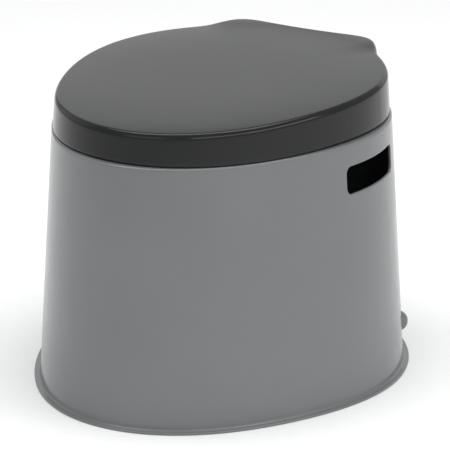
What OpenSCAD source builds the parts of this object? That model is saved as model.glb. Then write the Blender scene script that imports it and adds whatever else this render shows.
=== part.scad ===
// Portable camp toilet: a tapered shell with a seat, a lid and a lift-out bucket.
// Millimetres. +Z is up, the front faces -Y, the hinge is at +Y.
// The origin is on the floor, under the middle of the base flange.

/* [Overall] */
// Height of the lid's rear edge above the floor, the highest line
total_h = 320; // [316:0.5:322]
// Sides that every outline is drawn with
ring_n = 120; // [72:12:144]

/* [Base outline] */
// Mean radius of the base flange
base_mean = 204.4; // [190:0.2:215]
// How far the outline leans to the rear
base_lean = 5.3; // [0:0.1:10]
// How much longer than wide the outline is, as half the difference
base_long = 12.7; // [5:0.1:20]
// How far the front runs to a point
base_point = 5.0; // [0:0.1:8]
// How square the rear corners are
base_square = 2.5; // [0:0.1:4]

/* [Shell] */
// Wall of the shell and its deck
shell_wall = 3; // [2.5:0.1:4]
// Width of the flange that stands out round the base
flange_w = 6.3; // [4:0.1:10]
// Thickness of the base flange
flange_t = 2.5; // [2:0.1:4]
// Height of the deck that carries the seat
deck_z = 270.5; // [268:0.5:272]
// How far the wall leans in between the flange and the deck
wall_lean = 16.5; // [12:0.5:20]
// Radius of the shoulder where the wall turns into the deck
shoulder_r = 4; // [3:0.5:6]
// Depth of the collar round the bucket opening
collar_h = 14; // [10:1:20]

/* [Hand slots] */
// Length of each slot, front to rear
slot_len = 97; // [85:1:105]
// Height of each slot
slot_h = 29; // [24:1:32]
// Corner radius of each slot
slot_r = 7; // [4:0.5:10]
// Middle of each slot, behind the middle of the base
slot_y = 24; // [10:1:35]
// Middle of each slot above the floor
slot_z = 233; // [220:1:240]

/* [Corner lugs] */
// Radius of the rounded lug on each rear corner
lug_r = 11.5; // [8:0.5:13]
// How far the lug stands out of the wall
lug_out = 8; // [5:0.5:9]
// Height of the middle of the lug
lug_z = 33; // [25:1:45]
// Direction of the lug, from the right side round to the rear
lug_angle = 40; // [34:1:48]

/* [Lid] */
// Mean radius at the foot of the skirt
lid_mean = 177.4; // [175:0.2:178.4]
// How far the lid leans to the rear
lid_lean = 4.6; // [3:0.1:5.4]
// How much longer than wide the lid is, as half the difference
lid_long = 12.4; // [11:0.1:13]
// How far the front of the lid runs to a point
lid_point = 5.4; // [4:0.1:6]
// Wall of the lid
lid_wall = 2.8; // [2:0.1:3.5]
// Height of the foot of the skirt
skirt_z = 271.4; // [271:0.1:273]
// How much lower the front of the lid's top edge is than the rear
lid_slope = 14.8; // [10:0.2:16]
// Height of the crown above the lid's top edge
crown_h = 2.2; // [1:0.1:3]
// Half the width of the hinge tab at its rear edge
tab_half = 90; // [88:0.5:92]
// Rear edge of the hinge tab on the centre line
tab_rear = 191.2; // [190:0.2:192]
// How far the tab's corners reach past its middle
tab_hollow = 8.5; // [4:0.5:9]
// How fast the tab widens towards the front
tab_taper = 0.48; // [0.3:0.02:0.5]

/* [Seat] */
// Gap between the lid's inner wall and the seat
seat_gap = 3; // [2:0.5:4]
// Foot of the seat's outer wall
seat_z = 273; // [272.5:0.1:274]
// Highest line of the seat's crown
seat_top = 298.5; // [296:0.5:299]
// Wall of the seat moulding
seat_wall = 2.8; // [2:0.1:3.5]
// Half the width of the hole
hole_half_w = 104; // [95:1:110]
// Half the length of the hole
hole_half_l = 130; // [115:1:135]
// Middle of the hole and the bucket, from the middle of the base
hole_y = -8; // [-12:1:0]

/* [Bucket] */
// Half the width of the deck opening
mouth_half_w = 116; // [112:1:118]
// Half the length of the deck opening
mouth_half_l = 140; // [136:1:142]
// Width of the rim that rests on the deck
rim_w = 9; // [8:0.5:9.5]
// Underside of the bucket above the floor
bucket_z = 42; // [30:1:60]
// How far the bucket wall leans in over its whole depth
bucket_lean = 32; // [25:1:40]
// Wall of the bucket
bucket_wall = 2.2; // [1.8:0.1:3]

/* [Bail handle] */
// Radius of the wire
wire_r = 2; // [1.5:0.1:2.5]
// Half the distance between the two arms
arm_x = 128; // [127.5:0.5:130]
// Bend radius between arm and grip
bend_r = 85; // [75:1:90]
// Radius of the grip
grip_r = 7; // [6:0.5:7.5]
// Length of the grip
grip_len = 84; // [70:1:88]

/* [Hinge] */
// Hinge axis behind the middle of the base
hinge_y = 204; // [203:0.5:206]
// Hinge axis above the floor
hinge_z = 276; // [275:0.5:278]
// Radius of the two hinge pins
pin_r = 4; // [3:0.1:4.5]
// Radius of the hinge knuckles
knuckle_r = 8; // [7.5:0.1:8.5]

/* [Hidden] */

shell_grey = [0.44, 0.45, 0.45];
lid_grey = [0.36, 0.37, 0.37];
bucket_grey = [0.30, 0.31, 0.31];
pad_black = [0.10, 0.10, 0.10];

base_egg = [base_mean, base_lean, base_long, base_point, base_square];
lid_egg = [lid_mean, lid_lean, lid_long, lid_point, 0];
lid_half_l = 190;
lid_rear_z = total_h - crown_h;
tab_power = 13;
blend_power = 60;
crown_power = 5;
pin_clear = 0.05;
knuckle_clear = 0.08;
rest_gap = 0.2;
wire_z = 281.5;
grip_y = 137;

// Angles of the buffers on the right side, front and rear, and their insets
seat_buffer_at = [-72, 50];
lid_buffer_at = [-48, 56];
seat_buffer_in = 15;
lid_buffer_in = 23;
seat_boss_z = 275.5;
lid_boss_z = seat_top + 3.6;
buffer_r = 6.5;

// Hinge leaves along X on the right side, from the inside to the outside
ear_inner = [46, 54];
seat_arm_x = [54.5, 66.5];
lid_arm_x = [67, 79];
ear_outer = [79.5, 87.5];
pin_x = [44.5, 90];
pin_head = 2.3;
pin_head_r = 6;

// Radius of an egg outline at angle a: 0 is the right side, 90 the rear
function egg(a, e) = e[0] + e[1] * sin(a) - e[2] * cos(2 * a)
    + e[3] * sin(3 * a) + e[4] * cos(4 * a);

// Radius of an ellipse at angle a
function ellipse(a, half_w, half_l) =
    1 / sqrt(pow(cos(a) / half_w, 2) + pow(sin(a) / half_l, 2));

// Radius of the round-cornered hinge tab at angle a, zero in the front half
function tab(a) = sin(a) <= 0.3 ? 0 :
    let (reach = tab_rear + tab_hollow * pow(cos(a) / cos(68), 2),
        flank = (tab_half + tab_taper * tab_rear) / (abs(cos(a)) + tab_taper * sin(a)))
    pow(pow(1 / flank, tab_power) + pow(sin(a) / reach, tab_power), -1 / tab_power);

base_plan = function (a) egg(a, base_egg);
lid_plan = function (a) egg(a, lid_egg);
tab_plan = function (a)
    pow(pow(egg(a, lid_egg), blend_power) + pow(tab(a), blend_power), 1 / blend_power);
hole_plan = function (a) ellipse(a, hole_half_w, hole_half_l);
mouth_plan = function (a) ellipse(a, mouth_half_w, mouth_half_l);

// The flange outline is centred front to rear
plan_y = (base_plan(270) - base_plan(90)) / 2;
seat_inset = lid_wall + seat_gap;
ring_y = hole_y - plan_y;

// Point of an outline at angle a, moved in along its normal by inset
function edge_point(plan, a, inset) =
    let (r = plan(a), slope = (plan(a + 0.5) - plan(a - 0.5)) * 180 / PI,
        size = norm([r, slope]))
    [r * cos(a) - inset * (r * cos(a) + slope * sin(a)) / size,
        r * sin(a) - inset * (r * sin(a) - slope * cos(a)) / size];

// Closed ring of points at height z, shrunk to a share of its size about y
function loop(plan, inset, z, y = 0, share = 1) =
    [for (i = [0 : ring_n - 1]) let (p = share * edge_point(plan, i * 360 / ring_n, inset))
        [p[0], p[1] + y + plan_y, z]];

// How far into the hinge tab an angle lies, from 0 to 1
function tab_share(a) =
    let (t = max(0, min(1, (33 - abs(a - 90)) / 7))) t * t * (3 - 2 * t);

// Raises the points of a ring over the width of the hinge tab
function lifted(ring, rise) =
    [for (i = [0 : ring_n - 1]) ring[i] + [0, 0, rise * tab_share(i * 360 / ring_n)]];

// Height of the lid's top over the point p, sloping to the front and crowned
function lid_height(p) =
    let (a = atan2(p[1] - plan_y, p[0]), far = norm([p[0], p[1] - plan_y]) / lid_plan(a),
        sloped = lid_rear_z - lid_slope * (lid_half_l - p[1]) / (2 * lid_half_l))
    sloped + crown_h * (1 - (1 - tab_share(a)) * pow(min(1, far), crown_power));

// Ring of the lid's outline that runs at a set depth under its top
function lid_ring(inset, depth, share = 1) =
    [for (p = loop(tab_plan, inset, 0, share = share)) [p[0], p[1], lid_height(p) - depth]];

// Wall between rings, joined end to end, or capped at both ends
module skin(rings, joined = false) {
    n = len(rings[0]);
    m = len(rings);
    sides = [for (j = [0 : m - (joined ? 1 : 2)], i = [0 : n - 1])
        let (a = j * n + i, b = j * n + (i + 1) % n,
            c = (j + 1) % m * n + (i + 1) % n, d = (j + 1) % m * n + i)
        each [[a, c, b], [a, d, c]]];
    caps = joined ? [] : [[for (i = [0 : n - 1]) i],
        [for (i = [n - 1 : -1 : 0]) (m - 1) * n + i]];
    polyhedron([for (r = rings) each r], concat(sides, caps), convexity = 8);
}

// Cylinder along X between x[0] and x[1] on the hinge axis
module hinge_rod(x, r, sides = 64) {
    translate([x[0], hinge_y, hinge_z]) rotate([0, 90, 0])
        cylinder(r = r, h = x[1] - x[0], $fn = sides);
}

// Hinge leaf from a root block (y and z spans) to a knuckle on the axis
module leaf(x, root_y, root_z) {
    hull() {
        hinge_rod(x, knuckle_r, 32);
        translate([x[0], root_y[0], root_z[0]])
            cube([x[1] - x[0], root_y[1] - root_y[0], root_z[1] - root_z[0]]);
    }
}

// Draws its children on the right side and mirrored on the left
module both_sides() {
    children();
    mirror([1, 0, 0]) children();
}

// Inset of the shell's outer wall at height z
function wall_inset(z) = flange_w + wall_lean * (z - flange_t) / (deck_z - flange_t);

module shell_skin() {
    top = wall_inset(deck_z - shoulder_r);
    outer = [[0.7, 0], [0, 0.7], [0, flange_t - 0.7], [0.7, flange_t],
        [flange_w - 1.5, flange_t], [wall_inset(flange_t + 1.5), flange_t + 1.5],
        [top, deck_z - shoulder_r]];
    shoulder = [for (a = [30 : 30 : 90])
        [top + shoulder_r * (1 - cos(a)), deck_z - shoulder_r * (1 - sin(a))]];
    inner = [[top + shell_wall + 1, deck_z - shell_wall],
        [wall_inset(flange_t) + shell_wall, flange_t + 3],
        [wall_inset(flange_t) + shell_wall - 0.5, 0]];
    skin(concat(
        [for (p = concat(outer, shoulder)) loop(base_plan, p[0], p[1])],
        [loop(mouth_plan, -1, deck_z, ring_y),
            loop(mouth_plan, 0, deck_z - 1, ring_y),
            loop(mouth_plan, 0, deck_z - collar_h, ring_y),
            loop(mouth_plan, -shell_wall, deck_z - collar_h, ring_y),
            loop(mouth_plan, -shell_wall, deck_z - shell_wall, ring_y)],
        [for (p = inner) loop(base_plan, p[0], p[1])]), joined = true);
}

// Rounded bar along X that cuts one hand slot through the right wall
module slot_cutter() {
    along = slot_len / 2 - slot_r;
    up = slot_h / 2 - slot_r;
    translate([120, slot_y, slot_z]) rotate([90, 0, 90]) linear_extrude(height = 90) union() {
        square([slot_len - 2 * slot_r, slot_h], center = true);
        square([slot_len, slot_h - 2 * slot_r], center = true);
        for (x = [-along, along], y = [-up, up]) translate([x, y]) circle(r = slot_r, $fn = 32);
    }
}

// Rounded lug on a rear corner of the wall
module lug(a) {
    p = edge_point(base_plan, a, wall_inset(lug_z) + lug_r - lug_out);
    translate([p[0], p[1] + plan_y, lug_z]) sphere(r = lug_r, $fn = 48);
}

module outer_shell() {
    color(shell_grey) difference() {
        union() {
            shell_skin();
            both_sides() {
                leaf(ear_inner, [180, 188], [246, 262]);
                leaf(ear_outer, [166, 174], [246, 262]);
            }
            for (a = [lug_angle, 180 - lug_angle]) lug(a);
        }
        both_sides() slot_cutter();
        both_sides() hinge_rod([pin_x[0] - 1, pin_x[1] + 1], pin_r + pin_clear);
    }
}

module hinge_pin() {
    color(shell_grey) {
        hinge_rod([pin_x[0], ear_outer[1] + 0.2], pin_r);
        hinge_rod([ear_outer[1] + 0.2, ear_outer[1] + 0.2 + pin_head], pin_head_r);
    }
}

module seat_skin() {
    crown = seat_top;
    rim = seat_top - 7;
    skirt_foot = 280;
    outer = [[0.8, seat_z], [0, seat_z + 0.8], [0.6, rim - 4], [2.5, rim + 1.5],
        [7, rim + 5], [14, crown]];
    inner = [[16, crown], [7, rim + 3.8], [2.2, rim], [0, rim - 5],
        [0, skirt_foot]];
    under_in = [[seat_wall, skirt_foot], [seat_wall, rim - 6], [8, rim + 0.5],
        [16, crown - seat_wall]];
    under_out = [[14, crown - seat_wall], [7 + seat_wall / 2, rim + 1.8],
        [seat_wall + 1, rim - 5], [seat_wall, seat_z]];
    skin(concat(
        [for (p = outer) loop(lid_plan, seat_inset + p[0], p[1])],
        [for (p = inner) loop(hole_plan, -p[0], p[1], ring_y)],
        [for (p = under_in) loop(hole_plan, -p[0], p[1], ring_y)],
        [for (p = under_out) loop(lid_plan, seat_inset + p[0], p[1])]), joined = true);
}

// Puts its children at height z and angle a, inset from the seat's outer edge
module at_buffer(a, side, inset, z) {
    p = edge_point(lid_plan, a, seat_inset + inset);
    translate([side * p[0], p[1] + plan_y, z]) children();
}

module seat_ring() {
    color(lid_grey) difference() {
        union() {
            seat_skin();
            both_sides() leaf(seat_arm_x, [163, 174], [277, 286]);
            for (side = [-1, 1], a = seat_buffer_at)
                at_buffer(a, side, seat_buffer_in, seat_boss_z) cylinder(r = buffer_r + 1,
                    h = seat_top - 0.7 * seat_wall - seat_boss_z, $fn = 48);
        }
        both_sides() hinge_rod([seat_arm_x[0] - 1, seat_arm_x[1] + 1], pin_r + knuckle_clear);
    }
}

// Soft pad under a boss of the seat, standing on the deck
module seat_buffer(a, side) {
    color(pad_black) at_buffer(a, side, seat_buffer_in, deck_z + rest_gap) {
        cylinder(r1 = buffer_r - 1, r2 = buffer_r, h = 1, $fn = 48);
        translate([0, 0, 1])
            cylinder(r = buffer_r, h = seat_boss_z - deck_z - rest_gap - 1, $fn = 48);
    }
}

// Soft pad under the lid, standing on the seat's crown
module lid_buffer(a, side) {
    color(pad_black) at_buffer(a, side, lid_buffer_in, seat_top + rest_gap) {
        cylinder(r1 = buffer_r - 2, r2 = buffer_r - 1, h = 1, $fn = 48);
        translate([0, 0, 1])
            cylinder(r = buffer_r - 1, h = lid_boss_z - seat_top - rest_gap - 1, $fn = 48);
    }
}

module lid_skin() {
    tab_foot = 17;
    cap_share = 0.1;
    shares = [cap_share, 0.35, 0.6, 0.8, 0.93];
    inside = [[10, lid_wall], [lid_wall + 3.6, lid_wall + 3], [lid_wall + 2, lid_wall + 9]];
    outside = [[1.8, 7], [2.5, 3.2], [4.1, 0.4], [6, 0]];
    skin(concat(
        [for (s = shares) lid_ring(10, lid_wall, s)],
        [for (p = inside) lid_ring(p[0], p[1])],
        [lifted(loop(tab_plan, lid_wall, skirt_z), tab_foot),
            lifted(loop(tab_plan, 0.6, skirt_z), tab_foot),
            lifted(loop(tab_plan, 0, skirt_z + 0.8), tab_foot)],
        [for (p = outside) lid_ring(p[0], p[1])],
        [for (k = [len(shares) - 1 : -1 : 0]) lid_ring(6, 0, shares[k])]));
}

module lid() {
    color(lid_grey) difference() {
        union() {
            lid_skin();
            both_sides() leaf(lid_arm_x, [174, 188], [300, 317.6]);
            for (side = [-1, 1], a = lid_buffer_at) {
                p = edge_point(lid_plan, a, seat_inset + lid_buffer_in);
                at_buffer(a, side, lid_buffer_in, lid_boss_z) cylinder(r = buffer_r,
                    h = lid_height([p[0], p[1] + plan_y]) - lid_wall / 2 - lid_boss_z, $fn = 48);
            }
        }
        both_sides() hinge_rod([lid_arm_x[0] - 1, lid_arm_x[1] + 1], pin_r + knuckle_clear);
    }
}

module bucket_skin() {
    clear = 0.6;
    depth = deck_z - bucket_z;
    rim_z = deck_z + 0.1;
    rim_t = 3;
    foot_r = 10;
    foot = [for (a = [0 : 30 : 90])
        [clear + bucket_lean + foot_r * (1 - sin(a)), bucket_z + foot_r * (1 - cos(a))]];
    bottom = [for (a = [90 : -30 : 0])
        [clear + bucket_lean + bucket_wall + foot_r * (1 - sin(a)),
            bucket_z + bucket_wall + foot_r * (1 - cos(a))]];
    skin([for (p = concat(foot,
            [[clear + 1, rim_z - 4], [clear, rim_z], [-rim_w, rim_z], [-rim_w - 0.6, rim_z + 0.6],
                [-rim_w - 0.6, rim_z + rim_t - 0.8], [-rim_w, rim_z + rim_t],
                [clear, rim_z + rim_t], [clear + 2, rim_z + rim_t - 1.4],
                [clear + 1 + bucket_wall, rim_z - 5]],
            bottom))
        loop(mouth_plan, p[0], p[1], ring_y)]);
}

// Upstanding ear on the bucket rim that the bail wire pivots in
module bail_ear() {
    thick = 3.5;
    x = 120.5;
    hull() {
        translate([x, hole_y, wire_z]) rotate([0, 90, 0]) cylinder(r = 5, h = thick, $fn = 32);
        translate([x, hole_y - 8, deck_z + 2]) cube([thick, 16, 1]);
    }
}

module bucket() {
    color(bucket_grey) difference() {
        union() {
            bucket_skin();
            both_sides() bail_ear();
        }
        both_sides() translate([114, hole_y, wire_z]) rotate([0, 90, 0])
            cylinder(r = wire_r + 0.1, h = 20, $fn = 48);
    }
}

// Half of the bail: pivot end, arm, bend and half of the run through the grip
module half_bail() {
    bend_y = grip_y - bend_r;
    translate([115.5, hole_y, wire_z]) rotate([0, 90, 0])
        cylinder(r = wire_r, h = arm_x - 115.5, $fn = 32);
    translate([arm_x, hole_y, wire_z]) sphere(r = wire_r, $fn = 32);
    translate([arm_x, hole_y, wire_z]) rotate([-90, 0, 0])
        cylinder(r = wire_r, h = bend_y - hole_y, $fn = 32);
    translate([arm_x - bend_r, bend_y, wire_z])
        rotate_extrude(angle = 90, $fn = 96) translate([bend_r, 0]) circle(r = wire_r, $fn = 32);
    translate([0, grip_y, wire_z]) rotate([0, 90, 0])
        cylinder(r = wire_r, h = arm_x - bend_r, $fn = 32);
}

module bail_wire() {
    color("silver") both_sides() half_bail();
}

module bail_grip() {
    ribs = 7;
    pitch = grip_len / (ribs + 1);
    color(pad_black) difference() {
        union() {
            translate([-grip_len / 2, grip_y, wire_z]) rotate([0, 90, 0])
                cylinder(r = grip_r - 1, h = grip_len, $fn = 48);
            for (i = [0 : ribs]) translate([(i - ribs / 2) * pitch - 3, grip_y, wire_z])
                rotate([0, 90, 0]) cylinder(r = grip_r, h = 6, $fn = 48);
        }
        translate([-grip_len / 2 - 1, grip_y, wire_z]) rotate([0, 90, 0])
            cylinder(r = wire_r + 0.1, h = grip_len + 2, $fn = 48);
    }
}

outer_shell();
mirror([1, 0, 0]) hinge_pin();  // hinge_pin_left
hinge_pin();  // hinge_pin_right
seat_ring();
seat_buffer(seat_buffer_at[0], -1);  // seat_buffer_front_left
seat_buffer(seat_buffer_at[0], 1);  // seat_buffer_front_right
seat_buffer(seat_buffer_at[1], -1);  // seat_buffer_rear_left
seat_buffer(seat_buffer_at[1], 1);  // seat_buffer_rear_right
lid();
lid_buffer(lid_buffer_at[0], -1);  // lid_buffer_front_left
lid_buffer(lid_buffer_at[0], 1);  // lid_buffer_front_right
lid_buffer(lid_buffer_at[1], -1);  // lid_buffer_rear_left
lid_buffer(lid_buffer_at[1], 1);  // lid_buffer_rear_right
bucket();
bail_wire();
bail_grip();
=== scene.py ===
"""Looks of a portable camp toilet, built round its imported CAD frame.

Metres in the scene, millimetres in the shape functions. +Z is up, the front faces -Y.
"""

import math

import bmesh
import bpy
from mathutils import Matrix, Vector


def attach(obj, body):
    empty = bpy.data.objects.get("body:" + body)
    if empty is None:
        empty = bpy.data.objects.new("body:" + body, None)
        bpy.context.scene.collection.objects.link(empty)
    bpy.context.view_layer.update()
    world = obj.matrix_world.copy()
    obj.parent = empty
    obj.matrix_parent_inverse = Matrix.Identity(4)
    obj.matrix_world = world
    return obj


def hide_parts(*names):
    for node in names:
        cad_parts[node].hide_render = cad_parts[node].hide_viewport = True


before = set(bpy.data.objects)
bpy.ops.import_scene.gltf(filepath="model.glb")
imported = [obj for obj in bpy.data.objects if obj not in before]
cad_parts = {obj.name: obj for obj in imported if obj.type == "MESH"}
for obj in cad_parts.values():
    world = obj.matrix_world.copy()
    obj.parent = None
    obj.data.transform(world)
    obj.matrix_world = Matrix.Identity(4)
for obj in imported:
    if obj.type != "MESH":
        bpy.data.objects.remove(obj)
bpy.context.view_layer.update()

MM = 0.001
SIDES = 480
SHARP = math.radians(38)

# ---------------------------------------------------------------- outlines

BASE_EGG = (204.4, 5.3, 12.7, 5.0, 2.5)
LID_EGG = (177.4, 4.6, 12.4, 5.4, 0.0)
FLANGE_W, FLANGE_T = 6.3, 2.5
DECK_Z, SHOULDER_R = 270.5, 4.0
WALL_LEAN, SHELL_WALL, COLLAR_H = 16.5, 3.0, 14.0
TOP_Z, CROWN_H, CROWN_POWER = 320.0, 2.2, 5
LID_REAR_Z = TOP_Z - CROWN_H
LID_SLOPE, LID_HALF_L = 14.8, 190.0
SKIRT_Z, LID_WALL = 271.4, 2.8
TAB_HALF, TAB_REAR, TAB_HOLLOW, TAB_TAPER = 90.0, 191.2, 8.5, 0.48
TAB_POWER, BLEND_POWER, TAB_FOOT, TAB_CORNER = 13, 60, 17.0, 68
SEAT_GAP, SEAT_Z, SEAT_TOP, SEAT_WALL = 3.0, 273.0, 298.5, 2.8
SEAT_BOSS_Z, LID_BOSS_Z = 275.5, SEAT_TOP + 3.6
SEAT_INSET = LID_WALL + SEAT_GAP
HOLE_HALF = (104.0, 130.0)
MOUTH_HALF = (116.0, 140.0)
HOLE_Y = -8.0
HINGE_Y, HINGE_Z = 204.0, 276.0
PIN_R, KNUCKLE_R = 4.0, 8.0
PRESSED, LOOSE = 0.05, 0.08
# Each hinge leaf: its span in X on the right, and its root's spans in Y and Z
INNER_EAR = ((46.0, 54.0), (181.5, 186.5), (247.5, 260.5))
OUTER_EAR = ((79.5, 87.5), (167.5, 172.5), (247.5, 260.5))
SEAT_ARM = ((54.5, 66.5), (164.5, 172.5), (278.5, 284.5))
LID_ARM = ((67.0, 79.0), (175.5, 186.5), (301.5, 316.1))
# Each buffer's direction from the middle, and how far in from the seat's rim it sits
SEAT_BUFFERS = {"front": -72, "rear": 50}
LID_BUFFERS = {"front": -48, "rear": 56}
SEAT_BUFFER_IN, LID_BUFFER_IN = 15.0, 23.0
BUFFER_R, LID_PAD_R, BUFFER_GAP = 6.5, 5.5, 0.2
# The inner radius of a solid of revolution that has no hole
AXIS_R = 0.01


def cosd(a):
    return math.cos(math.radians(a))


def sind(a):
    return math.sin(math.radians(a))


def egg(a, e):
    """Radius of an egg outline at angle a in degrees: 0 is the right side, 90 the rear."""
    return (
        e[0] + e[1] * sind(a) - e[2] * cosd(2 * a) + e[3] * sind(3 * a) + e[4] * cosd(4 * a)
    )


def tab(a):
    """Radius of the round-cornered hinge tab, zero away from the rear."""
    if sind(a) <= 0.3:
        return 0.0
    reach = TAB_REAR + TAB_HOLLOW * (cosd(a) / cosd(TAB_CORNER)) ** 2
    flank = (TAB_HALF + TAB_TAPER * TAB_REAR) / (abs(cosd(a)) + TAB_TAPER * sind(a))
    total = flank ** -TAB_POWER + (sind(a) / reach) ** TAB_POWER
    return total ** (-1 / TAB_POWER)


def base_plan(a):
    return egg(a, BASE_EGG)


def lid_plan(a):
    return egg(a, LID_EGG)


def tab_plan(a):
    big = max(lid_plan(a), tab(a))
    total = (lid_plan(a) / big) ** BLEND_POWER + (tab(a) / big) ** BLEND_POWER
    return big * total ** (1 / BLEND_POWER)


def ellipse_plan(half):
    def plan(a):
        return 1 / math.hypot(cosd(a) / half[0], sind(a) / half[1])

    return plan


hole_plan = ellipse_plan(HOLE_HALF)
mouth_plan = ellipse_plan(MOUTH_HALF)
PLAN_Y = (base_plan(270) - base_plan(90)) / 2
RING_Y = HOLE_Y - PLAN_Y


def edge_point(plan, a, inset):
    """Point of an outline at angle a, moved in along its normal."""
    r = plan(a)
    slope = math.degrees(plan(a + 0.5) - plan(a - 0.5))
    size = math.hypot(r, slope)
    c, s = cosd(a), sind(a)
    return (
        r * c - inset * (r * c + slope * s) / size,
        r * s - inset * (r * s - slope * c) / size,
    )


def spread_angles(count, dense=()):
    """Angles round an outline, closer together inside the dense spans."""
    step = 360 / count
    out = []
    for i in range(count):
        a = i * step
        parts = 4 if any(lo <= a < hi for lo, hi in dense) else 1
        out += [a + k * step / parts for k in range(parts)]
    return out


ROUND = spread_angles(SIDES)
TABBED = spread_angles(360, ((46, 72), (108, 134)))


def loop(plan, inset, z, angles=ROUND, y=0.0, share=1.0):
    """Closed ring of points at height z."""
    out = []
    for a in angles:
        px, py = edge_point(plan, a, inset)
        out.append((share * px, share * py + y + PLAN_Y, z))
    return out


def rounded(points, radii, steps=5):
    """A polyline with arcs of the given radii at its inner corners, where there is room."""
    out = [points[0]]
    for i in range(1, len(points) - 1):
        q = Vector(points[i])
        u, v = Vector(points[i - 1]) - q, Vector(points[i + 1]) - q
        room = 0.48 * min(u.length, v.length)
        u.normalize()
        v.normalize()
        half = u.angle(v) / 2
        if radii[i - 1] <= 0 or half > math.radians(89.8):
            out.append(tuple(q))
            continue
        reach = min(radii[i - 1] / math.tan(half), room)
        r = reach * math.tan(half)
        middle = q + (u + v).normalized() * (r / math.sin(half))
        first, last = q + u * reach - middle, q + v * reach - middle
        turn = math.atan2(first.x * last.y - first.y * last.x, first.dot(last))
        for k in range(steps + 1):
            t = turn * k / steps
            c, s = math.cos(t), math.sin(t)
            spun = Vector((first.x * c - first.y * s, first.x * s + first.y * c))
            out.append(tuple(middle + spun))
    return out + [points[-1]]


def lerp(a, b, t):
    """Point a share t of the way from a to b."""
    return tuple(p + (q - p) * t for p, q in zip(a, b))


# ---------------------------------------------------------------- meshes


class Body:
    """Vertices in millimetres and faces of one closed solid."""

    def __init__(self):
        self.points = []
        self.faces = []

    def ring(self, points):
        start = len(self.points)
        self.points += points
        return list(range(start, len(self.points)))

    def bridge(self, a, b, closed=True, skip=()):
        n = len(a)
        for i in range(n if closed else n - 1):
            if i not in skip:
                j = (i + 1) % n
                self.faces.append((a[i], a[j], b[j], b[i]))

    def loft(self, loops, joined=False, capped=True):
        rings = [self.ring(points) for points in loops]
        for a, b in zip(rings, rings[1:]):
            self.bridge(a, b)
        if joined:
            self.bridge(rings[-1], rings[0])
        elif capped:
            self.faces.append(tuple(rings[0]))
            self.faces.append(tuple(rings[-1]))
        return rings

    def make(self, name):
        mesh = bpy.data.meshes.new(name)
        mesh.from_pydata([tuple(c * MM for c in p) for p in self.points], [], self.faces)
        obj = bpy.data.objects.new(name, mesh)
        bpy.context.scene.collection.objects.link(obj)
        tidy(obj)
        return obj


def tidy(obj):
    """Turns faces outward and marks creases sharp."""
    bm = bmesh.new()
    bm.from_mesh(obj.data)
    bmesh.ops.recalc_face_normals(bm, faces=bm.faces)
    for f in bm.faces:
        f.smooth = True
    for e in bm.edges:
        e.smooth = len(e.link_faces) == 2 and e.calc_face_angle(0) < SHARP
    bm.to_mesh(obj.data)
    bm.free()


def merged(target, others):
    """Unites closed solids with target, and removes them."""
    for other in others:
        mod = target.modifiers.new("unite", "BOOLEAN")
        mod.operation = "UNION"
        mod.solver = "EXACT"
        mod.object = other
        bpy.context.view_layer.update()
        evaluated = target.evaluated_get(bpy.context.evaluated_depsgraph_get())
        mesh = bpy.data.meshes.new_from_object(evaluated)
        target.modifiers.clear()
        old = target.data
        target.data = mesh
        mesh.name = target.name
        bpy.data.meshes.remove(old)
        bpy.data.objects.remove(other)
    tidy(target)
    return target


def lathe(name, profile, place, sides=64, joined=False):
    """Solid of revolution from (radius, height) pairs; place maps a local point."""
    turn = [360 * k / sides for k in range(sides)]
    body = Body()
    body.loft([[place(r * cosd(t), r * sind(t), h) for t in turn] for r, h in profile], joined=joined)
    return body.make(name)


def post(name, x, y, radius, low, high, corners, steps):
    """Upright round post; corners are the radii at its foot and at its head."""
    outline = [(AXIS_R, low), (radius, low), (radius, high), (AXIS_R, high)]
    return lathe(name, rounded(outline, corners, steps), lambda u, v, h: (x + u, y + v, h))


def boss(x, y, radius, low, high):
    """Post that a buffer sits on, with a broken lower edge."""
    return post("boss", x, y, radius, low, high, (0.5, 0.0), 3)


def bored_plate(name, ends, middle, cloud, bore, lip, bevel):
    """Plate across X, round a cloud of (y, z) points, bored at middle and eased at its edges.

    The bevel lists how deep under each face the outline stands in, and by how much.
    """
    spokes = [Vector(p) - middle for p in convex(cloud)]

    def section(x, shrink):
        return [(x, *(middle + s * (1 - shrink / s.length))) for s in spokes]

    def hole(x, radius):
        return [(x, *(middle + s.normalized() * radius)) for s in spokes]

    def face(x, way):
        rings = [hole(x + way * lip, bore), hole(x, bore + lip)]
        return rings + [section(x + way * depth, shrink) for depth, shrink in bevel]

    way = 1 if ends[1] > ends[0] else -1
    body = Body()
    body.loft(face(ends[0], way) + face(ends[1], -way)[::-1], joined=True)
    return body.make(name)


def hinge_leaf(span, root_y, root_z, bore):
    """Rounded plate from its root to the hinge axis, with a real bore."""
    rim, root_r = 0.9, 1.5
    cloud = [(HINGE_Y + KNUCKLE_R * cosd(t), HINGE_Z + KNUCKLE_R * sind(t)) for t in range(0, 360, 5)]
    for y in root_y:
        for z in root_z:
            cloud += [(y + root_r * cosd(t), z + root_r * sind(t)) for t in range(0, 360, 30)]
    bevel = ((0, rim), (0.3 * rim, 0.3 * rim), (rim, 0))
    return bored_plate("leaf", span, Vector((HINGE_Y, HINGE_Z)), cloud, bore, 0.4, bevel)


def leaf_pair(leaf, slack):
    """The hinge leaf on the right and its mirror image."""
    span, root_y, root_z = leaf
    spans = (span, (-span[1], -span[0]))
    return [hinge_leaf(s, root_y, root_z, PIN_R + slack) for s in spans]


def convex(points):
    """Counter-clockwise hull of points in a plane."""
    points = sorted(set(points))

    def half(run):
        chain = []
        for p in run:
            while len(chain) > 1:
                (ax, ay), (bx, by) = chain[-2], chain[-1]
                if (bx - ax) * (p[1] - ay) - (by - ay) * (p[0] - ax) > 1e-9:
                    break
                chain.pop()
            chain.append(p)
        return chain[:-1]

    return half(points) + half(points[::-1])


# ---------------------------------------------------------------- outer shell


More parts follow.
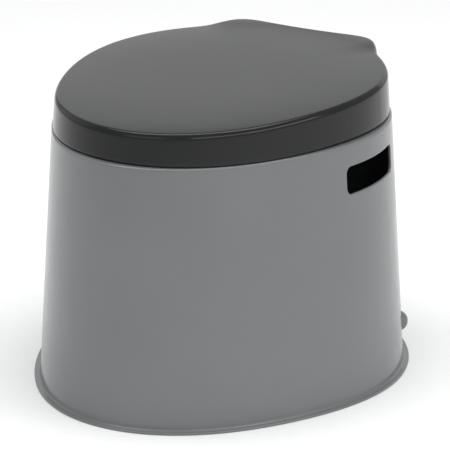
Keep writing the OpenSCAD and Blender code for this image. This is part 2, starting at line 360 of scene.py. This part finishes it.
def wall_inset(z):
    return FLANGE_W + WALL_LEAN * (z - FLANGE_T) / (DECK_Z - FLANGE_T)


def wall_point(a, z, extra=0.0):
    px, py = edge_point(base_plan, a, wall_inset(z) + extra)
    return (px, py + PLAN_Y, z)


def wall_angle(y, z, extra=0.0):
    """Angle on the right side where the wall reaches y at height z."""
    lo, hi = -60.0, 70.0
    for _ in range(40):
        mid = (lo + hi) / 2
        if wall_point(mid, z, extra)[1] < y:
            lo = mid
        else:
            hi = mid
    return lo


SLOT_LEN, SLOT_H, SLOT_R = 97.0, 29.0, 7.0
SLOT_Y, SLOT_Z, SLOT_LIP = 24.0, 233.0, 0.9
LUG_R, LUG_OUT, LUG_Z, LUG_ANGLE, LUG_FILLET = 11.5, 8.0, 33.0, 40.0, 2.0
WALL_STEP = 360 / SIDES


def slot_outline(across, up):
    """Points and normals of the slot, one for each side of a rectangle of cells."""
    half_l, half_h, r = SLOT_LEN / 2, SLOT_H / 2, SLOT_R
    arc = math.pi * r / 4
    out = []
    sides = (
        ((-half_l + r, -half_h), (1, 0), SLOT_LEN - 2 * r, across),
        ((half_l, -half_h + r), (0, 1), SLOT_H - 2 * r, up),
        ((half_l - r, half_h), (-1, 0), SLOT_LEN - 2 * r, across),
        ((-half_l, half_h - r), (0, -1), SLOT_H - 2 * r, up),
    )
    for (sx, sy), (dx, dy), straight, cells in sides:
        nx, ny = dy, -dx
        in_arc = max(2, round(cells * 0.22))
        cuts = [-arc + arc * k / in_arc for k in range(in_arc)]
        middle = cells - 2 * in_arc
        cuts += [straight * k / middle for k in range(middle)]
        cuts += [straight + arc * k / in_arc for k in range(in_arc)]
        for d in cuts:
            if d < 0 or d > straight:
                turn = d / r if d < 0 else (d - straight) / r
                base = 0 if d < 0 else straight
                cx, cy = sx + dx * base - nx * r, sy + dy * base - ny * r
                vx = nx * math.cos(turn) + dx * math.sin(turn)
                vy = ny * math.cos(turn) + dy * math.sin(turn)
                out.append((cx + r * vx, cy + r * vy, vx, vy))
            else:
                out.append((sx + dx * d, sy + dy * d, nx, ny))
    return out


def frame_of(cols, rows):
    """Border cells of a block of the wall grid, counter-clockwise seen from outside."""
    out = [(i, rows[0]) for i in range(cols[0], cols[1])]
    out += [(cols[1], j) for j in range(rows[0], rows[1])]
    out += [(i, rows[1]) for i in range(cols[1], cols[0], -1)]
    out += [(cols[0], j) for j in range(rows[1], rows[0], -1)]
    return out


class WallSide:
    """One side of a grid of wall rings, where blocks of cells give way to a slot or a lug."""

    def __init__(self, body, grid, levels, side, extra):
        self.body, self.grid, self.levels = body, grid, levels
        self.side, self.extra = side, extra
        self.open_cells = set()

    def ring(self, points):
        return self.body.ring([(self.side * x, y, z) for x, y, z in points])

    def bridge(self, rings):
        for a, b in zip(rings, rings[1:]):
            self.body.bridge(a, b)

    def rows_between(self, low, high):
        first = max(j for j, z in enumerate(self.levels) if z <= low)
        last = min(j for j, z in enumerate(self.levels) if z >= high)
        return first, last

    def open_block(self, cols, rows):
        """Leaves a block of cells open; returns its border's vertices, and their angles and heights."""
        left = self.side < 0
        for i in range(*cols):
            k = SIDES // 2 - i - 1 if left else i
            self.open_cells |= {(k % SIDES, j) for j in range(*rows)}
        border = frame_of(cols, rows)
        ids = [self.grid[j][(SIDES // 2 - i if left else i) % SIDES] for i, j in border]
        return ids, [(i * WALL_STEP, self.levels[j]) for i, j in border]

    def morph(self, ids, places, targets, shares):
        """Rings on the wall that turn a block's border into the target outline."""
        rings = [ids]
        for t in shares:
            steps = [lerp(place, target, t) for place, target in zip(places, targets)]
            rings.append(self.ring([wall_point(a, z, self.extra) for a, z in steps]))
        return rings

    def add_slot(self):
        """Hand slot; returns the ring at the end of its rounded lip."""
        over, beside = SLOT_H / 2 + 7, SLOT_LEN / 2 + 8
        rows = self.rows_between(SLOT_Z - over, SLOT_Z + over)
        cols = (
            math.floor(wall_angle(SLOT_Y - beside, SLOT_Z, self.extra) / WALL_STEP),
            math.ceil(wall_angle(SLOT_Y + beside, SLOT_Z, self.extra) / WALL_STEP),
        )
        ids, places = self.open_block(cols, rows)
        outline = slot_outline(cols[1] - cols[0], rows[1] - rows[0])

        def grown(off):
            spots = [(SLOT_Y + u + nu * off, SLOT_Z + v + nv * off) for u, v, nu, nv in outline]
            return [(wall_angle(y, z, self.extra), z) for y, z in spots]

        rings = self.morph(ids, places, grown(SLOT_LIP), (0.3, 0.55, 0.75, 0.9, 1.0))
        to_other_wall = 1 if self.extra > 0 else -1
        for turn in (30, 60, 90):
            depth = to_other_wall * SLOT_LIP * (1 - cosd(turn))
            spots = [wall_point(a, z, self.extra) for a, z in grown(SLOT_LIP * (1 - sind(turn)))]
            rings.append(self.ring([(x + depth, y, z) for x, y, z in spots]))
        self.bridge(rings)
        return rings[-1]

    def add_lug(self):
        """Rounded lug on the rear corner: part of a ball, with a fillet round its foot."""
        centre, half = round(LUG_ANGLE / WALL_STEP), round(5.6 / WALL_STEP)
        rows = self.rows_between(LUG_Z - 17, LUG_Z + 17)
        ids, places = self.open_block((centre - half, centre + half), rows)
        a0 = centre * WALL_STEP
        along = Vector(wall_point(a0 + 0.5, LUG_Z)) - Vector(wall_point(a0 - 0.5, LUG_Z))
        upward = Vector(wall_point(a0, LUG_Z + 5)) - Vector(wall_point(a0, LUG_Z - 5))
        normal = along.normalized().cross(upward).normalized()
        per_degree = along.length
        turns = [math.atan2(z - LUG_Z, (a - a0) * per_degree) for a, z in places]

        def circle(r):
            return [(a0 + r * math.cos(t) / per_degree, LUG_Z + r * math.sin(t)) for t in turns]

        sunk = LUG_R - LUG_OUT
        foot = math.sqrt((LUG_R + LUG_FILLET) ** 2 - (LUG_FILLET + sunk) ** 2)
        lean = math.atan2(foot, LUG_FILLET + sunk)
        profile = []
        for k in range(6):
            t = lean * k / 5
            profile.append((foot - LUG_FILLET * math.sin(t), LUG_FILLET * (1 - math.cos(t))))
        for k in range(1, 10):
            t = lean * (1 - k / 10)
            profile.append((LUG_R * math.sin(t), LUG_R * math.cos(t) - sunk))
        rings = self.morph(ids, places, circle(foot), (0.3, 0.6, 0.85))
        for r, height in profile:
            rings.append(self.ring([Vector(wall_point(a, z)) + normal * height for a, z in circle(r)]))
        self.bridge(rings)
        self.body.faces.append(tuple(rings[-1]))


def collar_profile():
    """Inset and height of each ring of the collar, down its face and up its back."""
    lip, foot = 1.2, DECK_Z - COLLAR_H
    out = [(-lip * (1 - sind(t)), DECK_Z - lip * (1 - cosd(t))) for t in (30, 60, 90)]
    out += [(0, DECK_Z - 8), (0, foot + 0.8), (-0.8, foot), (-2.2, foot)]
    return out + [
        (-SHELL_WALL, foot + 0.8),
        (-SHELL_WALL, DECK_Z - 4),
        (-SHELL_WALL - 1, DECK_Z - SHELL_WALL),
    ]


def evenly(low, high, count):
    return [low + (high - low) * j / count for j in range(count + 1)]


def build_shell():
    body = Body()
    flange = wall_inset(FLANGE_T)
    foot = rounded(
        [(flange + SHELL_WALL, 0), (0, 0), (0, FLANGE_T), (flange, FLANGE_T), (wall_inset(14), 14)],
        (0.9, 0.9, 2.2),
    )[1:-1]
    levels = evenly(6.0, DECK_Z - SHOULDER_R - 0.6, 58)
    edge = wall_inset(DECK_Z)
    shoulder = rounded(
        [(wall_inset(levels[-1]), levels[-1]), (edge, DECK_Z), (edge + 12, DECK_Z)], (SHOULDER_R,), 8
    )[1:-1]
    lower = [body.ring(loop(base_plan, i, z)) for i, z in foot]
    wall = [body.ring([wall_point(a, z) for a in ROUND]) for z in levels]
    upper = [body.ring(loop(base_plan, i, z)) for i, z in shoulder]
    for part in (lower + wall[:1], wall[-1:] + upper):
        for a, b in zip(part, part[1:]):
            body.bridge(a, b)

    # Deck, from the shoulder's oval to the bucket opening, and the collar under its edge
    collar = collar_profile()
    oval = loop(base_plan, shoulder[-1][0], DECK_Z)
    lip = loop(mouth_plan, -1.2, DECK_Z, y=RING_Y)
    deck = []
    for t in (0.04, 0.35, 0.65, 0.96, 1.0):
        deck.append(body.ring([lerp(a, b, t) for a, b in zip(oval, lip)]))
    chain = [upper[-1]] + deck + [body.ring(loop(mouth_plan, i, z, y=RING_Y)) for i, z in collar]

    # Inside of the wall, downwards
    under = DECK_Z - SHELL_WALL
    inner_levels = evenly(5.0, under - 3.5, 40)
    chain.append(body.ring(loop(base_plan, edge + SHELL_WALL + 3.5, under)))
    chain.append(body.ring(loop(base_plan, edge + SHELL_WALL + 1, under - 1.2)))
    inside = [body.ring([wall_point(a, z, SHELL_WALL) for a in ROUND]) for z in inner_levels]
    chain.append(inside[-1])
    for a, b in zip(chain, chain[1:]):
        body.bridge(a, b)
    sole = body.ring(loop(base_plan, flange + SHELL_WALL - 0.6, 0))
    body.bridge(inside[0], sole)
    body.bridge(sole, lower[0])

    # Wall grids with the slots and lugs
    slot_rings = []
    for grid, heights, extra in ((wall, levels, 0.0), (inside, inner_levels, SHELL_WALL)):
        skip = set()
        for side in (1, -1):
            half = WallSide(body, grid, heights, side, extra)
            slot_rings.append(half.add_slot())
            if grid is wall:
                half.add_lug()
            skip |= half.open_cells
        for j in range(len(grid) - 1):
            body.bridge(grid[j], grid[j + 1], skip={i for i, row in skip if row == j})
    for outer, inner in zip(slot_rings[:2], slot_rings[2:]):
        join_rings(body, outer, inner)
    shell = body.make("outer_shell_body")
    return merged(shell, leaf_pair(INNER_EAR, PRESSED) + leaf_pair(OUTER_EAR, PRESSED))


def join_rings(body, a, b):
    """Closes the band between two loops of different counts, walking both by distance."""

    def lengths(ring):
        out = [0.0]
        for i in range(len(ring)):
            p, q = body.points[ring[i]], body.points[ring[(i + 1) % len(ring)]]
            out.append(out[-1] + math.dist(p, q))
        return [x / out[-1] for x in out]

    p0 = body.points[a[0]]
    start = min(range(len(b)), key=lambda k: math.dist(body.points[b[k]], p0))
    b = b[start:] + b[:start]
    la, lb = lengths(a), lengths(b)
    i = j = 0
    while i < len(a) or j < len(b):
        if j >= len(b) or (i < len(a) and la[i + 1] <= lb[j + 1]):
            body.faces.append((a[i], a[(i + 1) % len(a)], b[j % len(b)]))
            i += 1
        else:
            body.faces.append((a[i % len(a)], b[(j + 1) % len(b)], b[j]))
            j += 1


# ---------------------------------------------------------------- lid


def tab_share(a, reach=33.0, ramp=7.0):
    """How far into the hinge tab an angle lies, from 0 to 1."""
    t = max(0.0, min(1.0, (reach - abs(a - 90)) / ramp))
    return t * t * (3 - 2 * t)


def lid_height(x, y):
    """Height of the lid's top, sloping to the front and crowned."""
    a = math.degrees(math.atan2(y - PLAN_Y, x))
    far = min(1.0, math.hypot(x, y - PLAN_Y) / lid_plan(a))
    sloped = LID_REAR_Z - LID_SLOPE * (LID_HALF_L - y) / (2 * LID_HALF_L)
    rise = tab_share(a, reach=36, ramp=12) * far ** (2 * CROWN_POWER)
    return sloped + CROWN_H * (1 - far ** CROWN_POWER + rise)


def lid_ring(inset, depth, share=1.0):
    """Ring of the lid's outline that runs at a set depth under its top."""
    flat = loop(tab_plan, inset, 0.0, TABBED, share=share)
    return [(x, y, lid_height(x, y) - depth) for x, y, _ in flat]


def lid_foot(inset, z):
    """Ring near the foot of the skirt, raised over the width of the hinge tab."""
    flat = loop(tab_plan, inset, z, TABBED)
    return [(x, y, h + TAB_FOOT * tab_share(a)) for a, (x, y, h) in zip(TABBED, flat)]


def between(first, last, steps):
    """Rings spaced evenly between two rings."""
    return [[lerp(a, b, k / steps) for a, b in zip(first, last)] for k in range(1, steps)]


def build_lid():
    outside = rounded([(1.0, 24), (2.35, 3.9), (4.75, 0.0), (12, 0.0)], (8.0, 3.2), 7)[1:-1]
    inner = rounded(
        [(18, LID_WALL), (LID_WALL + 3.4, LID_WALL + 0.2), (LID_WALL + 2.2, LID_WALL + 12)], (4,), 5
    )[1:-1]
    foot = rounded(
        [(LID_WALL, SKIRT_Z + 4), (LID_WALL, SKIRT_Z), (0, SKIRT_Z), (0.08, SKIRT_Z + 4)], (0.9, 0.9), 3
    )[1:-1]
    shares = (0.985, 0.96, 0.93, 0.89, 0.84, 0.78, 0.71, 0.63, 0.54, 0.44, 0.34, 0.24, 0.14, 0.06)
    rim = [lid_foot(i, z) for i, z in foot]
    edge = [lid_ring(i, d) for i, d in outside]
    lining = [lid_ring(i, d) for i, d in inner]
    roof = [lid_ring(8.5, 0.0)] + [lid_ring(8.5, 0.0, s) for s in shares]
    ceiling = [lid_ring(12.0, LID_WALL, s) for s in shares[::-1]] + [lid_ring(12.0, LID_WALL)]
    body = Body()
    body.loft(
        ceiling + lining + between(lining[-1], rim[0], 8)
        + rim + between(rim[-1], edge[0], 8) + edge + roof
    )
    lid = body.make("lid_body")
    parts = leaf_pair(LID_ARM, LOOSE)
    for angle in LID_BUFFERS.values():
        x, y = seat_point(angle, LID_BUFFER_IN)
        top = lid_height(x, y) - LID_WALL / 2
        for side in (1, -1):
            parts.append(boss(side * x, y, BUFFER_R, LID_BOSS_Z, top))
    return merged(lid, parts)


# ---------------------------------------------------------------- seat


def seat_point(a, inset):
    px, py = edge_point(lid_plan, a, SEAT_INSET + inset)
    return px, py + PLAN_Y


def build_seat():
    crown, rim, foot = SEAT_TOP, SEAT_TOP - 7, 280.0
    outer = rounded(
        [(2, SEAT_Z), (0.0, SEAT_Z), (0.3, rim - 5), (6.0, rim + 5.2), (18, crown + 0.1)], (0.7, 8, 14), 7
    )[1:-1]
    inner = rounded(
        [(20, crown + 0.1), (7.0, rim + 5.0), (0.2, rim - 5), (0.0, foot), (SEAT_WALL, foot)],
        (12, 9, 60, 1.2), 7,
    )[1:]
    under_in = rounded(
        [(SEAT_WALL, foot), (SEAT_WALL, rim - 6), (8, rim + 1.5), (20, crown - SEAT_WALL)], (6, 8), 5
    )[1:-1]
    under_out = rounded(
        [(16, crown - SEAT_WALL), (7.5, rim + 2.6), (SEAT_WALL + 0.4, rim - 6), (SEAT_WALL, SEAT_Z),
         (0.5, SEAT_Z)],
        (8, 7, 40, 0.6), 5,
    )[1:-1]
    loops = [loop(lid_plan, SEAT_INSET + i, z) for i, z in outer]
    loops += [loop(hole_plan, -i, z, y=RING_Y) for i, z in inner + under_in]
    loops += [loop(lid_plan, SEAT_INSET + i, z) for i, z in under_out]
    body = Body()
    body.loft(loops, joined=True)
    seat = body.make("seat_body")
    parts = leaf_pair(SEAT_ARM, LOOSE)
    for angle in SEAT_BUFFERS.values():
        x, y = seat_point(angle, SEAT_BUFFER_IN)
        for side in (1, -1):
            parts.append(boss(side * x, y, BUFFER_R + 1, SEAT_BOSS_Z, crown - 0.7 * SEAT_WALL))
    return merged(seat, parts)


# ---------------------------------------------------------------- bucket


def build_bucket():
    floor_z, wall, lean, clear = 42.0, 2.2, 32.0, 0.6
    rim_z, rim_t, rim_w = DECK_Z + 0.1, 3.0, 9.0
    top = clear + 1
    outside = rounded(
        [(clear + lean + 60, floor_z), (clear + lean, floor_z), (top, rim_z - 4)], (12,), 7
    )[1:-1]
    rim = rounded(
        [(top, rim_z - 6), (top - 0.5, rim_z), (-rim_w - 0.6, rim_z), (-rim_w - 0.6, rim_z + rim_t),
         (clear + 0.5, rim_z + rim_t), (clear + 1 + wall, rim_z - 6)],
        (1.2, 1.4, 1.4, 2.4), 5,
    )[1:-1]
    inside = rounded(
        [(clear + 1 + wall, rim_z - 6), (clear + lean + wall, floor_z + wall),
         (clear + lean + 60, floor_z + wall)],
        (10,), 7,
    )
    outer_wall = [lerp(outside[-1], (top, rim_z - 4), k / 12) for k in range(1, 12)]
    inner_wall = [lerp(inside[0], inside[1], k / 12) for k in range(12)]
    profile = outside + outer_wall + rim + inner_wall + inside[1:-1]
    body = Body()
    body.loft([loop(mouth_plan, i, z, y=RING_Y) for i, z in profile])
    bucket = body.make("bucket_body")
    return merged(bucket, [bail_ear(side) for side in (1, -1)])


WIRE_Z, WIRE_R, ARM_X, BEND_R, GRIP_Y = 281.5, 2.0, 128.0, 85.0, 137.0


def bail_ear(side):
    """Upstanding ear with the hole that the bail wire turns in."""
    ends = (side * 120.5, side * 124.0)
    cloud = [(HOLE_Y + 5 * cosd(t), WIRE_Z + 5 * sind(t)) for t in range(0, 360, 6)]
    cloud += [(HOLE_Y + dy, DECK_Z + 2) for dy in (-8, 8)]
    bevel = ((0, 0.6), (0.6, 0))
    return bored_plate("ear", ends, Vector((HOLE_Y, WIRE_Z)), cloud, WIRE_R + 0.1, 0.3, bevel)


def build_wire():
    """The bail: one round wire from pivot to pivot, through the grip."""
    bend_y, elbow, sides = GRIP_Y - BEND_R, 4, 20
    path = [(115.5, HOLE_Y), (ARM_X - elbow, HOLE_Y)]
    path += [
        (ARM_X - elbow + elbow * sind(t), HOLE_Y + elbow - elbow * cosd(t)) for t in range(15, 91, 15)
    ]
    path += [(ARM_X, HOLE_Y + (bend_y - HOLE_Y) * k / 4) for k in range(1, 5)]
    path += [(ARM_X - BEND_R * (1 - cosd(t)), bend_y + BEND_R * sind(t)) for t in range(4, 91, 4)]
    path += [(ARM_X - BEND_R - 20, GRIP_Y)]
    whole = path + [(-x, y) for x, y in path[::-1]]
    centre = [Vector((x, y, WIRE_Z)) for x, y in whole]
    up = Vector((0, 0, 1))
    loops = []
    for k, p in enumerate(centre):
        before, after = centre[max(k - 1, 0)], centre[min(k + 1, len(centre) - 1)]
        across = up.cross((after - before).normalized())
        turns = [360 * t / sides for t in range(sides)]
        loops.append([tuple(p + WIRE_R * (across * cosd(t) + up * sind(t))) for t in turns])

    def end_cap(p, neighbour, ring):
        out = (p - neighbour).normalized()
        return [tuple(p + out * 0.6 + (Vector(q) - p) * 0.7) for q in ring]

    first = end_cap(centre[0], centre[1], loops[0])
    last = end_cap(centre[-1], centre[-2], loops[-1])
    body = Body()
    body.loft([first] + loops + [last])
    return body.make("bail_wire_steel")


def build_grip():
    """Ribbed tube grip on the wire."""
    length, ribs, radius, groove = 84.0, 7, 7.0, 1.2
    pitch = length / (ribs + 1)
    half = length / 2
    low = radius - groove
    profile = [(WIRE_R + 0.1, -half + 0.5), (radius - 2, -half), (low, -half + 0.8)]
    for i in range(ribs + 1):
        centre = (i - ribs / 2) * pitch
        for k in range(-6, 7):
            u = k / 6
            profile.append((low + groove * (1 - u ** 4) ** 0.5, centre + u * (pitch / 2 - 0.9)))
    profile += [(low, half - 0.8), (radius - 2, half), (WIRE_R + 0.1, half - 0.5)]
    return lathe(
        "bail_grip_sleeve", profile, lambda u, v, h: (h, GRIP_Y + u, WIRE_Z + v), sides=48, joined=True
    )


# ---------------------------------------------------------------- pins


def build_pin(name, side):
    """Hinge pin along X, with a head on its outer end."""
    tip, neck, end = 44.5, 87.7, 90
    outline = [(AXIS_R, tip), (PIN_R, tip), (PIN_R, neck), (6, neck), (6, end), (AXIS_R, end)]
    profile = rounded(outline, (0.6, 0.0, 0.3, 1.3), 4)
    return lathe(name, profile, lambda u, v, h: (side * h, HINGE_Y + u, HINGE_Z + v))


# ---------------------------------------------------------------- materials


def node_material(name, base, rough, grain, grain_depth, mottling, edge_highlight=0.0, ior=1.5, metal=0.0):
    """Moulded or drawn surface: colour drift, roughness drift, fine grain and a painted highlight on sharp
    convex edges.
    """
    mat = bpy.data.materials.new(name)
    mat.use_nodes = True
    tree = mat.node_tree
    nodes, links = tree.nodes, tree.links
    shader = nodes["Principled BSDF"]
    shader.inputs["IOR"].default_value = ior
    shader.inputs["Metallic"].default_value = metal
    where = nodes.new("ShaderNodeTexCoord").outputs["Object"]

    def noise(scale, detail, roughness=0.5):
        node = nodes.new("ShaderNodeTexNoise")
        node.inputs["Scale"].default_value = scale
        node.inputs["Detail"].default_value = detail
        node.inputs["Roughness"].default_value = roughness
        links.new(where, node.inputs["Vector"])
        return node.outputs["Fac"]

    def ramp(source, low, high):
        node = nodes.new("ShaderNodeMapRange")
        node.inputs["From Min"].default_value = 0.3
        node.inputs["From Max"].default_value = 0.7
        node.inputs["To Min"].default_value = low
        node.inputs["To Max"].default_value = high
        links.new(source, node.inputs["Value"])
        return node.outputs["Result"]

    def mix(factor, a, b):
        node = nodes.new("ShaderNodeMix")
        node.data_type = "RGBA"
        links.new(factor, node.inputs["Factor"])
        for socket, value in ((node.inputs[6], a), (node.inputs[7], b)):
            if isinstance(value, tuple):
                socket.default_value = (*value, 1)
            else:
                links.new(value, socket)
        return node.outputs[2]

    dark = tuple(c * (1 - mottling) for c in base)
    light = tuple(c * (1 + mottling) for c in base)
    colour = mix(ramp(noise(9.0, 3.0), 0.0, 1.0), dark, light)
    # Painted highlight: sharp convex edges are mixed towards a lighter colour, standing in for the light
    # caught on rounded edges.
    if edge_highlight:
        shape = nodes.new("ShaderNodeNewGeometry")
        edge = nodes.new("ShaderNodeMapRange")
        edge.inputs["From Min"].default_value = 0.53
        edge.inputs["From Max"].default_value = 0.62
        edge.inputs["To Max"].default_value = edge_highlight
        links.new(shape.outputs["Pointiness"], edge.inputs["Value"])
        colour = mix(edge.outputs["Result"], colour, tuple(min(1.0, c * 1.8 + 0.02) for c in base))
    links.new(colour, shader.inputs["Base Color"])
    links.new(ramp(noise(26.0, 4.0, 0.6), rough * 0.86, rough * 1.14), shader.inputs["Roughness"])
    bump = nodes.new("ShaderNodeBump")
    bump.inputs["Strength"].default_value = 1.0
    bump.inputs["Distance"].default_value = grain_depth
    links.new(noise(grain, 2.0), bump.inputs["Height"])
    links.new(bump.outputs["Normal"], shader.inputs["Normal"])
    return mat


SHELL_GREY = (0.170, 0.177, 0.180)
LID_GREY = (0.013, 0.0135, 0.014)
SEAT_GREY = (0.040, 0.042, 0.044)
BUCKET_GREY = (0.110, 0.113, 0.116)
# Where a seventh number is given, it is the strength of the painted highlight on sharp convex edges.
MATERIALS = {
    "shell_plastic": node_material("shell_plastic", SHELL_GREY, 0.20, 420.0, 0.000012, 0.03, 0.25),
    "lid_plastic": node_material("lid_plastic", LID_GREY, 0.15, 520.0, 0.000008, 0.04, 0.25, ior=1.36),
    "seat_plastic": node_material("seat_plastic", SEAT_GREY, 0.26, 520.0, 0.000014, 0.05, 0.2),
    "bucket_plastic": node_material("bucket_plastic", BUCKET_GREY, 0.32, 480.0, 0.000018, 0.05, 0.2),
    "grip_plastic": node_material("grip_plastic", (0.022, 0.022, 0.023), 0.45, 900.0, 0.00003, 0.08, 0.2),
    "buffer_rubber": node_material("buffer_rubber", (0.018, 0.018, 0.018), 0.62, 1400.0, 0.00004, 0.12),
    "bail_steel": node_material("bail_steel", (0.52, 0.53, 0.54), 0.28, 1600.0, 0.00002, 0.05, metal=1.0),
}


def dress(obj, body, slot, *nodes):
    obj.data.materials.clear()
    obj.data.materials.append(MATERIALS[slot])
    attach(obj, body)
    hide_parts(*nodes)


dress(build_shell(), "base", "shell_plastic", "outer_shell")
dress(build_lid(), "cover", "lid_plastic", "lid")
dress(build_seat(), "seat", "seat_plastic", "seat_ring")
dress(build_bucket(), "base", "bucket_plastic", "bucket")
dress(build_wire(), "base", "bail_steel", "bail_wire")
dress(build_grip(), "base", "grip_plastic", "bail_grip")

for side_name, side in (("left", -1), ("right", 1)):
    dress(build_pin("hinge_pin_body_" + side_name, side), "base", "shell_plastic", "hinge_pin_" + side_name)
    for where, angle in SEAT_BUFFERS.items():
        x, y = seat_point(angle, SEAT_BUFFER_IN)
        node = f"seat_buffer_{where}_{side_name}"
        low, high = DECK_Z + BUFFER_GAP, SEAT_BOSS_Z
        pad = post(node + "_pad", side * x, y, BUFFER_R, low, high, (1.4, 0.2), 5)
        dress(pad, "seat", "buffer_rubber", node)
    for where, angle in LID_BUFFERS.items():
        x, y = seat_point(angle, LID_BUFFER_IN)
        node = f"lid_buffer_{where}_{side_name}"
        low, high = SEAT_TOP + BUFFER_GAP, LID_BOSS_Z
        pad = post(node + "_pad", side * x, y, LID_PAD_R, low, high, (1.2, 0.2), 5)
        dress(pad, "cover", "buffer_rubber", node)

# ---------------------------------------------------------------- stage


def aim(obj, target):
    obj.rotation_euler = (Vector(target) - obj.location).to_track_quat("-Z", "Y").to_euler()


def area_light(name, place, target, size, power, turn=0.0):
    data = bpy.data.lights.new(name, "AREA")
    data.shape = "RECTANGLE"
    data.size, data.size_y = size
    data.energy = power
    obj = bpy.data.objects.new(name, data)
    obj.location = place
    bpy.context.scene.collection.objects.link(obj)
    aim(obj, target)
    obj.rotation_euler.rotate_axis("Z", math.radians(turn))


def build_floor():
    mesh = bpy.data.meshes.new("studio_floor")
    half = 14.0
    corners = [(-half, -half, 0), (half, -half, 0), (half, half, 0), (-half, half, 0)]
    mesh.from_pydata(corners, [], [(0, 1, 2, 3)])
    obj = bpy.data.objects.new("studio_floor", mesh)
    bpy.context.scene.collection.objects.link(obj)
    mat = bpy.data.materials.new("pale_floor")
    mat.use_nodes = True
    shader = mat.node_tree.nodes["Principled BSDF"]
    shader.inputs["Base Color"].default_value = (0.95, 0.95, 0.95, 1)
    shader.inputs["Roughness"].default_value = 0.9
    shader.inputs["Specular IOR Level"].default_value = 0.1
    mesh.materials.append(mat)


build_floor()
area_light("top_softbox", (0, 0, 3.0), (0, 0, 0), (3.6, 1.8), 80.0, 31)
area_light("rear_panel", (-1.2, 3.2, 1.2), (0, 0, 0.3), (5.0, 1.7), 13.0)
area_light("right_panel", (3.2, 0.2, 1.35), (0, 0, 0.2), (2.0, 0.7), 14.0)
area_light("front_panel", (2.74, -1.83, 1.55), (0, 0, 0.2), (2.6, 0.8), 17.0)
area_light("front_left_panel", (-0.22, -3.3, 1.5), (0, 0, 0.2), (2.2, 0.8), 6.0)
area_light("left_panel", (-3.2, -0.2, 1.3), (0, 0, 0.2), (2.6, 2.0), 5.0)

world = bpy.data.worlds.new("studio")
world.use_nodes = True
world.node_tree.nodes["Background"].inputs["Color"].default_value = (0.98, 0.99, 1.0, 1)
world.node_tree.nodes["Background"].inputs["Strength"].default_value = 0.41
bpy.context.scene.world = world
bpy.context.scene.view_settings.view_transform = "Standard"

camera_data = bpy.data.cameras.new("photo_camera")
camera_data.lens = 242.7
camera_data.sensor_width = 36
camera_data.clip_end = 100
camera = bpy.data.objects.new("photo_camera", camera_data)
camera.location = (1.5518, -2.5635, 1.1700)
bpy.context.scene.collection.objects.link(camera)
aim(camera, (0.0118, -0.0003, 0.1528))
bpy.context.scene.camera = camera

bpy.context.view_layer.update()
